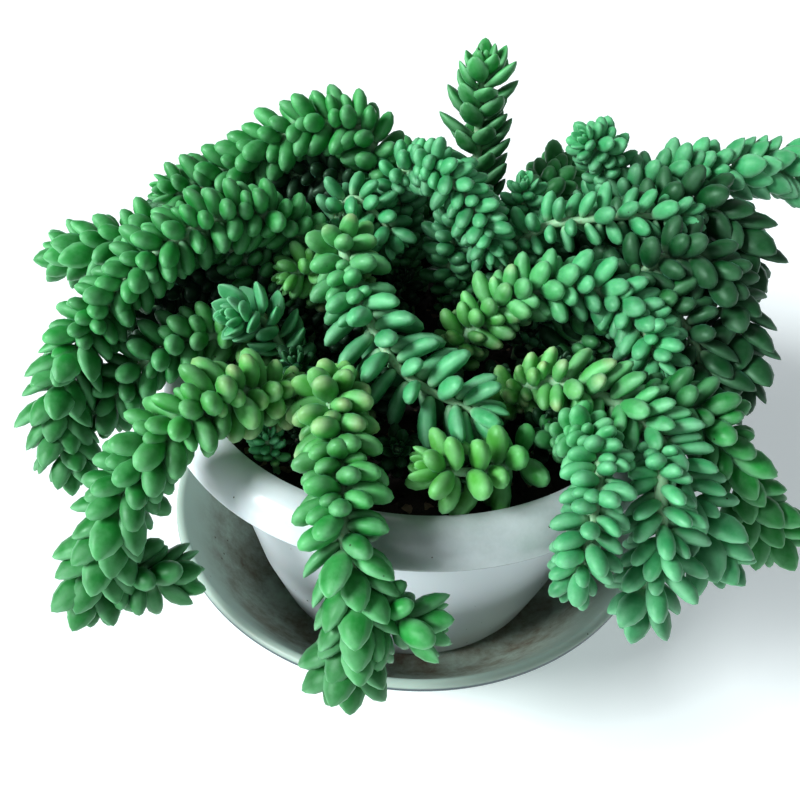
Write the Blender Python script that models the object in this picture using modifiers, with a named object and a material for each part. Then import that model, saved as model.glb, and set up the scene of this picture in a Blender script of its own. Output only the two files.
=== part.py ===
"""A burro's tail in a white plastic pot that stands in a deep saucer.

Fat-leaved stems rise from the soil, arch over the pot's rim and trail down outside it. Each stem and
its leaves are one solid: the leaves sit round the stem in a spiral and a Boolean union joins them to it.
The origin is the middle of the saucer's underside, +Z is up and the front is towards -Y.
"""
import math
import random

import bpy
import bmesh
from mathutils import Matrix, Vector
from mathutils.bvhtree import BVHTree

MM = 0.001
MERGE = 0.00005
GAP = 0.3                       # play between pieces that rest on each other, mm

# Saucer, mm. Its profile is (radius, height), out from the axis and up the inside, then down the outside.
SAUCER_FLOOR = 4.0
SAUCER_FOOT_RADIUS = 60.0
SAUCER_LIP_RADIUS = 102.5
SAUCER_HEIGHT = 46.0
SAUCER_LIP = 2.2                # radius of the round lip
SAUCER_INSIDE = [(62.0, SAUCER_FLOOR), (68.0, 8.0), (86.0, 25.0)]
SAUCER_OUTSIDE = [(88.5, 23.5), (70.0, 6.0), (63.0, 1.2), (SAUCER_FOOT_RADIUS, 0.0)]

# Pot, mm. The body is given by its outer side, from the base up.
POT_BASE = SAUCER_FLOOR + GAP
POT_FLOOR = 3.0
POT_WALL = 2.6
POT_BODY = [(57.0, POT_BASE), (61.5, 8.0), (69.0, 30.0), (76.5, 64.0), (84.0, 100.0), (87.4, 114.0)]
RIM_RADIUS = 100.0
RIM_SKIRT = 108.0               # height of the rim band's lower edge
RIM_TOP = 120.0
RIM_INNER = 89.0
RIM_WALL = 2.4
ROUND_STEPS = 28

# Soil, mm
SOIL_TOP = 108.0
HOLE_BOTTOM = 95.0
HOLE_RADIUS = 5.0
HOLE_SIDES = 6
HOLE_OVERRUN = 4.0              # how far a hole's cutter stands above the soil

# Stems and leaves, mm and degrees
STEM_FOOT = HOLE_BOTTOM + GAP
STEM_RADIUS = 3.8
TIP_RADIUS = 2.0
STEM_STRETCH = 20.0             # length of one straight stretch of a stem's core
BARE_FOOT = 25.0                # bare stem above the soil
BARE_FORK = 7.0                 # bare start of a side shoot
LEAF_PITCH = 6.8                # length of stem for each leaf
LEAF_WIDTH = 0.53               # of its length
LEAF_DEPTH = 0.42
LEAF_CURL = 0.10                # how far the leaf's point bends up, of its length
LEAF_SIDES = 3
LEAF_OUTLINE = [(0.0, 0.0), (1.0, 0.46), (0.84, 0.79), (0.0, 1.0)]  # share of half width, of length
LEAF_LEAN = 52.0                # angle between a leaf and its stem
LEAF_PLAY = 6.0                 # chance change of that angle
LEAF_SIZES = (0.92, 1.06)       # chance change of a leaf's length
GOLDEN_TURN = 137.5
TIP_LEAVES = 4
TIP_PITCH = 3.2
TIP_SETBACK = 1.5               # the last leaf's root lies this far inside the core's end
TIP_LEAN = 24.0
TIP_SIZES = (0.86, 0.56)        # share of full length at the start of the tip and at its end
CLEARANCE = 0.35                # kept between a leaf and any other piece

# How a leaf gives way to what it would touch: share of its lean, share of its length, turn round the stem.
WAYS_CLEAR = [
    (1.0, 1.0, 0), (0.8, 1.0, 0), (1.0, 1.0, 18), (1.0, 1.0, -18), (0.6, 0.95, 0), (0.7, 0.9, 28),
    (0.7, 0.9, -28), (1.0, 0.78, 0), (0.55, 0.78, 0), (0.55, 0.75, 35), (0.55, 0.75, -35),
    (0.8, 0.62, 0), (0.45, 0.6, 0)]

# Colours, linear
PLASTIC_WHITE = (0.80, 0.83, 0.83)
SOIL_BROWN = (0.035, 0.024, 0.017)
LEAF_GREENS = {
    "fresh": (0.11, 0.33, 0.09),
    "lime": (0.22, 0.42, 0.09),
    "pale": (0.16, 0.40, 0.20),
    "deep": (0.05, 0.20, 0.07)}

# Each stem: name, green, leaf length, its points from the soil outwards, and its side shoots' points.
STEMS = [
    ("stem_front", "fresh", 22, [
        (-25, -35, 109), (-29, -44, 132), (-30, -56, 141), (-26, -80, 138), (-23, -104, 130),
        (-18, -117, 113), (-19, -123, 96), (-20, -124, 83)],
     [[(-19, -117, 113), (-8, -119, 107), (4, -118, 103)]]),
    ("stem_front_left", "lime", 22, [
        (-40, -32, 109), (-50, -46, 132), (-62, -60, 145), (-78, -74, 143), (-91, -82, 129),
        (-101, -89, 109), (-107, -94, 90), (-110, -97, 81)],
     [[(-104, -92, 98), (-93, -91, 88), (-82, -88, 84)]]),
    ("stem_left_low", "fresh", 19, [
        (-48, -6, 109), (-63, -11, 128), (-79, -17, 136), (-97, -27, 133), (-111, -34, 121),
        (-116, -35, 110)], []),
    ("stem_left_far", "fresh", 19, [
        (-45, 12, 109), (-60, 14, 138), (-80, 14, 158), (-101, 12, 160), (-126, 15, 150),
        (-142, 19, 142)], []),
    ("stem_left_high", "fresh", 21, [
        (-35, 30, 109), (-45, 26, 145), (-62, 16, 168), (-85, 0, 170), (-103, -15, 160),
        (-116, -28, 149), (-124, -38, 136), (-128, -45, 122), (-126, -51, 107), (-125, -53, 100)], []),
    ("stem_crest", "fresh", 21, [
        (-24, 58, 109), (-20, 62, 150), (-27, 63, 179), (-47, 62, 183), (-63, 60, 174),
        (-79, 57, 163), (-95, 52, 156), (-106, 50, 157)], []),
    ("stem_centre_top", "pale", 18, [
        (-5, 40, 109), (-12, 50, 150), (-12, 50, 168), (-3, 45, 176), (6, 36, 179)], []),
    ("stem_centre_back", "pale", 18, [
        (16, 28, 109), (10, 34, 145), (14, 34, 164), (21, 29, 160), (26, 22, 155)], []),
    ("stem_centre_inner", "pale", 17, [
        (-32, 42, 109), (-36, 42, 150), (-30, 40, 163), (-18, 33, 158), (-13, 28, 150)], []),
    ("stem_centre", "lime", 22, [
        (-25, 8, 109), (-31, 12, 140), (-31, 8, 160), (-28, -5, 156), (-19, -22, 148),
        (-8, -38, 141), (5, -47, 138), (15, -52, 137), (21, -55, 135)], []),
    ("stem_rosette_left", "pale", 17, [
        (-44, -18, 109), (-52, -16, 130), (-60, -17, 145), (-67, -24, 151)], []),
    ("stem_arch_right", "lime", 20, [
        (14, -8, 109), (16, -6, 132), (33, 0, 147), (52, 2, 152), (68, 0, 150), (79, -8, 144),
        (85, -17, 137), (87, -22, 133)], []),
    ("stem_right", "lime", 22, [
        (30, -28, 109), (36, -32, 128), (44, -36, 137), (58, -42, 138), (73, -50, 136),
        (83, -60, 130), (92, -69, 116), (100, -75, 102), (106, -78, 92)],
     [[(80, -57, 132), (79, -76, 129), (80, -89, 112), (78, -93, 96), (76, -94, 87)]]),
    ("stem_right_front", "fresh", 17, [
        (45, -43, 109), (52, -56, 130), (56, -68, 138), (57, -80, 137), (55, -92, 131),
        (52, -102, 119), (50, -104, 110)], []),
    ("stem_front_right", "fresh", 20, [
        (32, -46, 109), (35, -57, 120), (24, -69, 125), (11, -77, 131), (3, -78, 134)], []),
    ("stem_right_side", "deep", 20, [
        (55, 0, 109), (80, 14, 150), (99, 18, 158), (116, 12, 142), (122, 2, 126), (123, -6, 113)], []),
    ("stem_right_side_back", "deep", 20, [
        (56, 14, 109), (80, 40, 151), (105, 47, 164), (123, 44, 151), (131, 38, 135)], []),
    ("stem_right_top", "pale", 20, [
        (52, 36, 109), (76, 57, 150), (91, 63, 163), (116, 68, 167), (143, 75, 166),
        (160, 80, 161)], []),
    ("stem_upright", "deep", 19, [
        (18, 62, 109), (21, 76, 142), (20, 84, 172), (20, 88, 199)], []),
    ("stem_rosette_back", "pale", 19, [
        (46, 50, 109), (54, 57, 126), (68, 66, 143), (80, 73, 158), (76, 71, 173), (67, 64, 182)], []),
    ("stem_right_pale", "pale", 19, [
        (32, 28, 109), (36, 34, 146), (46, 32, 159), (60, 28, 165), (74, 30, 166), (89, 31, 166),
        (101, 31, 164)], []),
    ("stem_tuft_back", "pale", 16, [
        (34, 50, 109), (40, 58, 140), (39, 57, 163)], []),
    ("stem_tuft_middle", "pale", 15, [
        (42, 41, 109), (50, 44, 140), (48, 43, 155)], []),
    ("stem_tuft_inner", "pale", 15, [
        (40, 8, 109), (48, 17, 128), (47, 19, 141)], []),
    ("stem_right_low", "deep", 21, [
        (55, -18, 109), (74, -34, 127), (95, -43, 131), (108, -47, 119), (119, -50, 101),
        (131, -52, 86), (137, -53, 79)], []),
    ("stem_back_left", "fresh", 20, [
        (-38, 54, 109), (-48, 72, 136), (-62, 98, 142), (-74, 114, 124), (-80, 122, 100),
        (-82, 125, 86)], []),
    ("stem_back", "fresh", 20, [
        (0, 60, 109), (-5, 78, 136), (-11, 106, 140), (-14, 122, 122), (-13, 128, 98),
        (-11, 130, 86)], []),
    ("stem_back_right", "deep", 20, [
        (34, 62, 109), (39, 69, 126), (50, 84, 140), (61, 106, 142), (67, 119, 122),
        (70, 126, 100), (72, 129, 88)], []),
    ("stem_right_back", "deep", 20, [
        (62, 28, 109), (68, 39, 128), (82, 54, 140), (102, 72, 144), (118, 86, 126),
        (125, 94, 102), (127, 97, 90)], []),
    ("stem_left_back", "fresh", 20, [
        (-54, 26, 109), (-78, 42, 137), (-100, 62, 143), (-116, 76, 124), (-122, 82, 102),
        (-124, 85, 88)], []),
]


def clear_scene():
    for thing in list(bpy.data.objects):
        bpy.data.objects.remove(thing, do_unlink=True)


def new_collection(name):
    group = bpy.data.collections.new(name)
    bpy.context.scene.collection.children.link(group)
    return group


def add_object(name, data, group):
    thing = bpy.data.objects.new(name, data)
    group.objects.link(thing)
    return thing


def plain_material(name, colour, roughness):
    finish = bpy.data.materials.new(name)
    finish.use_nodes = True
    shader = finish.node_tree.nodes["Principled BSDF"]
    shader.inputs["Base Color"].default_value = (*colour, 1.0)
    shader.inputs["Roughness"].default_value = roughness
    shader.inputs["Metallic"].default_value = 0.0
    return finish


def result_mesh(thing):
    """An object's mesh as its modifiers or its curve settings leave it."""
    bpy.context.view_layer.update()
    ready = thing.evaluated_get(bpy.context.evaluated_depsgraph_get())
    return bpy.data.meshes.new_from_object(ready)


def arc(centre, radii, start, stop, count):
    """Points on an ellipse's arc, from the angle start to the angle stop, in degrees."""
    points = []
    for index in range(count):
        angle = math.radians(start + (stop - start) * index / (count - 1))
        points.append((centre[0] + radii[0] * math.cos(angle), centre[1] + radii[1] * math.sin(angle)))
    return points


def turned(name, profile, group, finish):
    """A closed turned solid: the profile runs out from the axis, up the inside and down the outside."""
    mesh = bpy.data.meshes.new(name)
    points = [(radius * MM, 0.0, height * MM) for radius, height in profile]
    mesh.from_pydata(points, [(index, index + 1) for index in range(len(points) - 1)], [])
    thing = add_object(name, mesh, group)
    screw = thing.modifiers.new("turn", "SCREW")
    screw.axis = "Z"
    screw.angle = math.tau
    screw.steps = ROUND_STEPS
    screw.render_steps = ROUND_STEPS
    screw.use_merge_vertices = True
    screw.merge_threshold = MERGE
    mesh.materials.append(finish)
    return thing


def finish_round(thing):
    """Keep the turned and cut shape as the object's mesh, and shade it smooth."""
    mesh = result_mesh(thing)
    thing.modifiers.clear()
    thing.data = mesh
    mesh.shade_smooth()
    mesh.set_sharp_from_angle(angle=math.radians(40.0))


def make_saucer(parts):
    centre = (SAUCER_LIP_RADIUS - SAUCER_LIP, SAUCER_HEIGHT - SAUCER_LIP)
    lip = arc(centre, (SAUCER_LIP, SAUCER_LIP), 150, -30, 5)
    profile = [(0.0, SAUCER_FLOOR)] + SAUCER_INSIDE + lip + SAUCER_OUTSIDE + [(0.0, 0.0)]
    return turned("saucer", profile, parts, plain_material("saucer plastic", PLASTIC_WHITE, 0.35))


def body_radius(height):
    """The pot body's outer radius at a height."""
    for (low_radius, low), (high_radius, high) in zip(POT_BODY, POT_BODY[1:]):
        if height <= high:
            return low_radius + (high_radius - low_radius) * (height - low) / (high - low)
    return POT_BODY[-1][0]


def pot_inside():
    """The pot's inner side from the floor up; the floor's edge is a little inside the wall's foot."""
    floor = POT_BASE + POT_FLOOR
    wall = [(radius - POT_WALL, height) for radius, height in POT_BODY[2:]]
    return [(body_radius(floor) - 2 * POT_WALL, floor)] + wall


def make_pot(parts):
    centre = (RIM_INNER, RIM_SKIRT)
    over = (RIM_RADIUS - RIM_INNER, RIM_TOP - RIM_SKIRT)
    under = (over[0] - RIM_WALL, over[1] - RIM_WALL)
    rim = arc(centre, over, 96, 0, 5) + arc(centre, under, 0, 78, 2)
    profile = [(0.0, POT_BASE + POT_FLOOR)] + pot_inside() + rim + POT_BODY[::-1] + [(0.0, POT_BASE)]
    return turned("pot", profile, parts, plain_material("pot plastic", PLASTIC_WHITE, 0.28))


def make_soil(parts, cutters):
    """The soil fills the pot to a little under its rim, with a plain hole for the foot of each stem."""
    side = [(radius - GAP, height) for radius, height in pot_inside() if height < SOIL_TOP]
    side[0] = (side[0][0], side[0][1] + GAP)
    top = (body_radius(SOIL_TOP) - POT_WALL - GAP, SOIL_TOP)
    profile = [(0.0, SOIL_TOP), top] + side[::-1] + [(0.0, side[0][1])]
    soil = turned("soil", profile, parts, plain_material("potting soil", SOIL_BROWN, 0.95))
    depth = SOIL_TOP + HOLE_OVERRUN - HOLE_BOTTOM
    for name, green, leaf_length, points, shoots in STEMS:
        mesh = bpy.data.meshes.new("hole")
        shape = bmesh.new()
        bmesh.ops.create_cone(shape, cap_ends=True, segments=HOLE_SIDES, radius1=HOLE_RADIUS * MM,
                              radius2=HOLE_RADIUS * MM, depth=depth * MM)
        shape.to_mesh(mesh)
        shape.free()
        hole = add_object(f"hole_for_{name}", mesh, cutters)
        hole.location = (points[0][0] * MM, points[0][1] * MM, (HOLE_BOTTOM + depth / 2) * MM)
        hole.display_type = "WIRE"
        hole.hide_render = True
    cut = soil.modifiers.new("stem holes", "BOOLEAN")
    cut.operation = "DIFFERENCE"
    cut.operand_type = "COLLECTION"
    cut.collection = cutters
    return soil


class Route:
    """A smooth line through hand-placed points, which also knows the straight stretches of its core."""

    SAMPLES = 24

    def __init__(self, points):
        points = [Vector(point) for point in points]
        guides = [points[0] * 2 - points[1]] + points + [points[-1] * 2 - points[-2]]
        self.line = []
        for index in range(len(guides) - 3):
            for step in range(self.SAMPLES):
                self.line.append(self.between(guides[index:index + 4], step / self.SAMPLES))
        self.line.append(points[-1])
        self.reach = [0.0]
        for before, after in zip(self.line, self.line[1:]):
            self.reach.append(self.reach[-1] + (after - before).length)
        self.length = self.reach[-1]
        self.sides = self.carry_side()
        self.stretches = max(2, round(self.length / STEM_STRETCH))
        self.knees = [self.at(self.length * index / self.stretches)[0] for index in range(self.stretches + 1)]

    @staticmethod
    def between(four, share):
        """A point between the second and third of four points, on a centripetal Catmull-Rom curve."""
        knots = [0.0]
        for before, after in zip(four, four[1:]):
            knots.append(knots[-1] + math.sqrt((after - before).length))
        place = knots[1] + (knots[2] - knots[1]) * share

        def mix(low, high, start, end):
            return start.lerp(end, (place - knots[low]) / (knots[high] - knots[low]))

        first, second, third = [mix(index, index + 1, four[index], four[index + 1]) for index in range(3)]
        return mix(1, 2, mix(0, 2, first, second), mix(1, 3, second, third))

    def carry_side(self):
        """A sideways direction at each sample, carried along the line with no twist."""
        side = (self.line[1] - self.line[0]).orthogonal()
        sides = []
        for index in range(len(self.line)):
            after = self.line[min(index + 1, len(self.line) - 1)]
            before = self.line[max(index - 1, 0)]
            heading = (after - before).normalized()
            side = (side - heading * side.dot(heading)).normalized()
            sides.append(side)
        return sides

    def at(self, distance):
        """Position, heading and side at a distance along the line."""
        index = 1
        while index < len(self.reach) - 1 and self.reach[index] < distance:
            index += 1
        share = (distance - self.reach[index - 1]) / (self.reach[index] - self.reach[index - 1])
        position = self.line[index - 1].lerp(self.line[index], share)
        heading = (self.line[index] - self.line[index - 1]).normalized()
        return position, heading, self.sides[index]

    def on_core(self, distance):
        """The place on the core's straight stretches at a distance along the line."""
        stretch, share = divmod(distance / self.length * self.stretches, 1.0)
        if stretch >= self.stretches:
            return self.knees[-1]
        return self.knees[int(stretch)].lerp(self.knees[int(stretch) + 1], share)


def make_core(name, route, foot, group):
    """The bare stem: a four-sided tube on straight stretches, which thins towards its tip."""
    places = list(route.knees)
    radii = []
    for index in range(len(places)):
        thinning = (index / route.stretches) ** 2
        radii.append(STEM_RADIUS + (TIP_RADIUS - STEM_RADIUS) * thinning)
    if foot:
        places.insert(0, foot)
        radii.insert(0, STEM_RADIUS)
    curve = bpy.data.curves.new(name, "CURVE")
    curve.dimensions = "3D"
    curve.bevel_depth = MM
    curve.bevel_resolution = 0
    curve.use_fill_caps = True
    spline = curve.splines.new("POLY")
    spline.points.add(len(places) - 1)
    for point, place, radius in zip(spline.points, places, radii):
        point.co = (*(place * MM), 1.0)
        point.radius = radius
    tube = add_object(name, curve, group)
    mesh = result_mesh(tube)
    bpy.data.objects.remove(tube, do_unlink=True)
    shape = bmesh.new()
    shape.from_mesh(mesh)
    bmesh.ops.remove_doubles(shape, verts=shape.verts, dist=MERGE)
    bmesh.ops.recalc_face_normals(shape, faces=shape.faces)
    shape.to_mesh(mesh)
    shape.free()
    return add_object(name, mesh, group)


def leaf_mesh():
    """One leaf of unit length along +Z, its root at the origin and its keel, a blunt ridge, at -Y."""
    shape = bmesh.new()
    bmesh.ops.create_uvsphere(shape, u_segments=LEAF_SIDES, v_segments=len(LEAF_OUTLINE) - 1, radius=1.0)
    ring_vert = next(vert for vert in shape.verts if abs(vert.co.z) < 0.9)
    to_keel = -math.pi / 2 - math.atan2(ring_vert.co.y, ring_vert.co.x)
    bmesh.ops.rotate(shape, verts=shape.verts, matrix=Matrix.Rotation(to_keel, 3, "Z"))
    half_width = LEAF_WIDTH / 2 / math.sin(math.tau / LEAF_SIDES)
    keel_height = LEAF_DEPTH / (1 - math.cos(math.tau / LEAF_SIDES))
    for vert in shape.verts:
        ring = round((vert.co.z + 1.0) / 2 * (len(LEAF_OUTLINE) - 1))
        share, height = LEAF_OUTLINE[ring]
        outward = Vector((vert.co.x, vert.co.y, 0.0)).normalized() * share
        curl = LEAF_CURL * height * height
        vert.co = (outward.x * half_width, outward.y * keel_height + curl, height)
    mesh = bpy.data.meshes.new("leaf")
    shape.to_mesh(mesh)
    shape.free()
    return mesh


def leaf_matrix(place, heading, side, turn, lean, length):
    """Where a leaf sits: its root on the core's axis, at the angle lean from the stem's heading."""
    outward = Matrix.Rotation(math.radians(turn), 3, heading) @ side
    along = outward * math.sin(math.radians(lean)) + heading * math.cos(math.radians(lean))
    across = heading.cross(outward).normalized()
    upper = along.cross(across).normalized()
    basis = Matrix((across, upper, along)).transposed()
    return Matrix.Translation(place * MM) @ basis.to_4x4() @ Matrix.Scale(length * MM, 4)


def search_tree(mesh, matrix, grow=0.0):
    """A search tree of a mesh's faces in their place, grown outwards by some millimetres."""
    points = [matrix @ vert.co for vert in mesh.vertices]
    middle = sum(points, Vector()) / len(points)
    points = [point + (point - middle).normalized() * grow * MM for point in points]
    return BVHTree.FromPolygons(points, [tuple(face.vertices) for face in mesh.polygons])


def leaf_places(route, first):
    """For each leaf, its distance along the stem, its share of full length and its lean."""
    tip_start = route.length - TIP_SETBACK - TIP_PITCH * (TIP_LEAVES - 1)
    count = max(1, round((tip_start - first) / LEAF_PITCH))
    places = []
    for index in range(count):
        places.append((first + (tip_start - first) * index / count, 1.0, LEAF_LEAN))
    for index in range(TIP_LEAVES):
        share = index / (TIP_LEAVES - 1)
        size = TIP_SIZES[0] + (TIP_SIZES[1] - TIP_SIZES[0]) * share
        lean = LEAF_LEAN + (TIP_LEAN - LEAF_LEAN) * (index + 1) / TIP_LEAVES
        places.append((tip_start + TIP_PITCH * index, size, lean))
    return places


def clear_matrix(leaf, route, distance, turn, lean, length, others):
    """The first way of laying a leaf that keeps it clear of the other pieces, or None."""
    heading, side = route.at(distance)[1:]
    place = route.on_core(distance)
    for lean_share, length_share, more_turn in WAYS_CLEAR:
        matrix = leaf_matrix(place, heading, side, turn + more_turn, lean * lean_share, length * length_share)
        tree = search_tree(leaf, matrix, CLEARANCE)
        if not any(tree.overlap(other) for other in others):
            return matrix
    return None


def join(stem, group, finish):
    """Join a stem's leaves and side shoots to it as one solid, and remove what was joined."""
    union = stem.modifiers.new("leaves", "BOOLEAN")
    union.operation = "UNION"
    union.operand_type = "COLLECTION"
    union.collection = group
    mesh = result_mesh(stem)
    stem.modifiers.clear()
    stem.data = mesh
    for thing in list(group.objects):
        bpy.data.objects.remove(thing, do_unlink=True)
    bpy.data.collections.remove(group)
    mesh.materials.clear()
    mesh.materials.append(finish)


def make_stems(parts, fixed):
    """All leafy stems. The cores come first, so that no leaf lies across another stem's core."""
    still = Matrix.Identity(4)
    leaf = leaf_mesh()
    plants = []
    for name, green, leaf_length, points, shoots in STEMS:
        routes = [Route(points)] + [Route(shoot) for shoot in shoots]
        foot = Vector((points[0][0], points[0][1], STEM_FOOT))
        stem = make_core(name, routes[0], foot, parts)
        leaves = new_collection(f"{name}_leaves")
        side_shoots = [make_core(f"{name}_shoot", route, None, leaves) for route in routes[1:]]
        trees = [search_tree(solid.data, still) for solid in [stem] + side_shoots]
        plants.append((stem, leaves, routes, trees))
    chance = random.Random(7)
    for number, (stem, leaves, routes, own_trees) in enumerate(plants):
        name, green, leaf_length = STEMS[number][:3]
        others = list(fixed)
        for other in plants:
            if other[0] is not stem:
                others += other[3]
        for route in routes:
            turn = chance.uniform(0.0, 360.0)
            first = BARE_FOOT if route is routes[0] else BARE_FORK
            for distance, size, lean in leaf_places(route, first):
                turn += GOLDEN_TURN
                length = leaf_length * size * chance.uniform(*LEAF_SIZES)
                lean += chance.uniform(-LEAF_PLAY, LEAF_PLAY)
                matrix = clear_matrix(leaf, route, distance, turn, lean, length, others)
                if matrix:
                    blade = add_object(f"{name}_leaf", leaf.copy(), leaves)
                    blade.data.transform(matrix)
                    own_trees.append(search_tree(leaf, matrix))
        join(stem, leaves, plain_material(f"{name} leaves", LEAF_GREENS[green], 0.45))


def main():
    clear_scene()
    parts = new_collection("potted_burros_tail")
    cutters = new_collection("cutters")
    holders = [make_saucer(parts), make_pot(parts), make_soil(parts, cutters)]
    for thing in holders:
        finish_round(thing)
    fixed = [search_tree(thing.data, Matrix.Identity(4)) for thing in holders]
    make_stems(parts, fixed)


main()
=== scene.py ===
"""A burro's tail in a white plastic pot on a deep saucer: the finish of every surface.

Each leafy stem follows the same line as its plain solid and carries leaves of true size and number. The
pot, the saucer and the soil are turned finely over the sizes of their solids.
"""
import math
import random

import bmesh
import bpy
import numpy as np
from bpy.props import FloatProperty, FloatVectorProperty, IntProperty, PointerProperty
from mathutils import Matrix, Vector
from mathutils.bvhtree import BVHTree


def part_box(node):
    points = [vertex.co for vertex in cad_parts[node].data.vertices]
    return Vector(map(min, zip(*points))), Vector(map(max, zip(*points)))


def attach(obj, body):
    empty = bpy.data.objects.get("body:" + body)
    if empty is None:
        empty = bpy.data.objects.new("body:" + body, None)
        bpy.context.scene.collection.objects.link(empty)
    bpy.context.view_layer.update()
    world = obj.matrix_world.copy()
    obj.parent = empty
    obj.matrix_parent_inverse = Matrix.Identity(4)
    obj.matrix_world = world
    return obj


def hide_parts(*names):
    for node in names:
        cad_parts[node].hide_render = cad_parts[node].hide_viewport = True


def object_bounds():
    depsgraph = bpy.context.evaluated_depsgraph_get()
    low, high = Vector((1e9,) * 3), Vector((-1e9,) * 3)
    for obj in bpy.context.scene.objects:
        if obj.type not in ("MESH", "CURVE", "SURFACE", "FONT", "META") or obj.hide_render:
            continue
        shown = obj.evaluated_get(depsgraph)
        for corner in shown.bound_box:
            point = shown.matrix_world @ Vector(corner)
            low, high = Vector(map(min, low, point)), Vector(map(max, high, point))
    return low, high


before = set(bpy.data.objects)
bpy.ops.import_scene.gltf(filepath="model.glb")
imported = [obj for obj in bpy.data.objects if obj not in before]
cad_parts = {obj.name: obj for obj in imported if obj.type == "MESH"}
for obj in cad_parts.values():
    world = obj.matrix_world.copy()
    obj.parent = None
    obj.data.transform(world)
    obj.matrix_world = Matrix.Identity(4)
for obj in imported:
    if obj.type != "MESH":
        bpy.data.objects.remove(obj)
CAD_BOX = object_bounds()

bl_info = {
    "name": "Potted burro's tail",
    "version": (1, 0, 0),
    "blender": (4, 5, 0),
    "location": "3D View > Sidebar > Burro's tail",
    "description": "Makes a burro's tail in a plastic pot and saucer, with its studio",
    "category": "Add Mesh"}

MM = 0.001
BODY = "root"

# Heights and radii of the solids, mm
POT_LOW, POT_HIGH = [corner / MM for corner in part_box("pot")]
SAUCER_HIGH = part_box("saucer")[1] / MM
SOIL_LOW, SOIL_HIGH = [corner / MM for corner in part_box("soil")]


def linear(code):
    """A hex sRGB colour as linear red, green and blue."""
    channels = [int(code[place:place + 2], 16) / 255 for place in (1, 3, 5)]
    return tuple(value / 12.92 if value <= 0.04045 else ((value + 0.055) / 1.055) ** 2.4
                 for value in channels)


def colour_setting(name, description, code):
    return FloatVectorProperty(name=name, description=description, subtype="COLOR", size=3, min=0.0, max=1.0,
                               default=linear(code))


def distance_setting(name, description, default, least, most):
    return FloatProperty(name=name, description=description, default=default, min=least, max=most,
                         unit="LENGTH", subtype="DISTANCE")


def angle_setting(name, description, default, least, most):
    """A setting that is given in degrees here and kept in radians."""
    default, least, most = [math.radians(angle) for angle in (default, least, most)]
    return FloatProperty(name=name, description=description, default=default, min=least, max=most,
                         unit="ROTATION", subtype="ANGLE")


class PotSettings(bpy.types.PropertyGroup):
    """Pot and saucer"""
    segments: IntProperty(
        name="Segments", description="Faces round the pot and the saucer", default=144, min=24, max=256)
    wall: distance_setting("Wall", "Thickness of the pot's wall", 0.0024, 0.001, 0.006)
    plastic: colour_setting("Plastic", "Colour of the clean plastic", "#DFE7EA")
    # The saucer's colour is the pot's white plastic made dingier and darkened with painted shade, grey-green
    # as from the leaves' light
    saucer: colour_setting("Saucer plastic", "Colour of the weathered_and_shade_painted saucer", "#A4B8AC")
    dirt: colour_setting("Dirt", "Colour of the dried soil on the plastic", "#523F2A")


class SoilSettings(bpy.types.PropertyGroup):
    """Potting soil"""
    crumbs: IntProperty(name="Crumbs", description="Loose crumbs on the soil", default=700, min=0, max=3000)
    crumb_size: distance_setting("Crumb size", "Width of a middling crumb", 0.0022, 0.0005, 0.01)
    earth: colour_setting("Earth", "Colour of the damp soil", "#2A2019")
    seed: IntProperty(name="Seed", description="Which of the chance layouts of crumbs", default=11, min=0)


class LeafSettings(bpy.types.PropertyGroup):
    """Stems and leaves"""
    seed: IntProperty(name="Seed", description="Which of the chance layouts of leaves", default=23, min=0)
    pitch: FloatProperty(
        name="Leaf pitch", description="Length of stem for each leaf, as a share of the leaf's length",
        default=0.075, min=0.04, max=0.5)
    lean: angle_setting("Lean", "Angle between a full-grown leaf and its stem", 75, 0, 90)
    lime: colour_setting("Lime", "Leaves grown in the shade of the crown", "#4A9A38")
    fresh: colour_setting("Fresh", "Full-grown leaves in good light", "#1C8431")
    pale: colour_setting("Pale", "Leaves with a thick wax bloom", "#37955A")
    # Deep is painted shade: the green darkened for leaves on the side away from the window, at the back and
    # inside the crown
    deep: colour_setting("Deep", "Leaves at the back and on the shaded side", "#08421A")
    bloom: colour_setting("Bloom", "The powdery wax on the leaves", "#B2DCC2")
    bark: colour_setting("Stem", "The fleshy stem between the leaves", "#8CBC90")


class StageSettings(bpy.types.PropertyGroup):
    """Floor, lights and camera"""
    elevation: angle_setting("Elevation", "Height of the camera above the horizon", 40.9, 0, 89)
    distance: distance_setting("Distance", "From the camera to the point it looks at", 0.4075, 0.1, 5.0)
    roll: angle_setting("Roll", "Turn of the camera about its line of sight", 2.6, -45, 45)
    floor: colour_setting("Floor", "Colour of the floor", "#EEF1F0")


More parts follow.
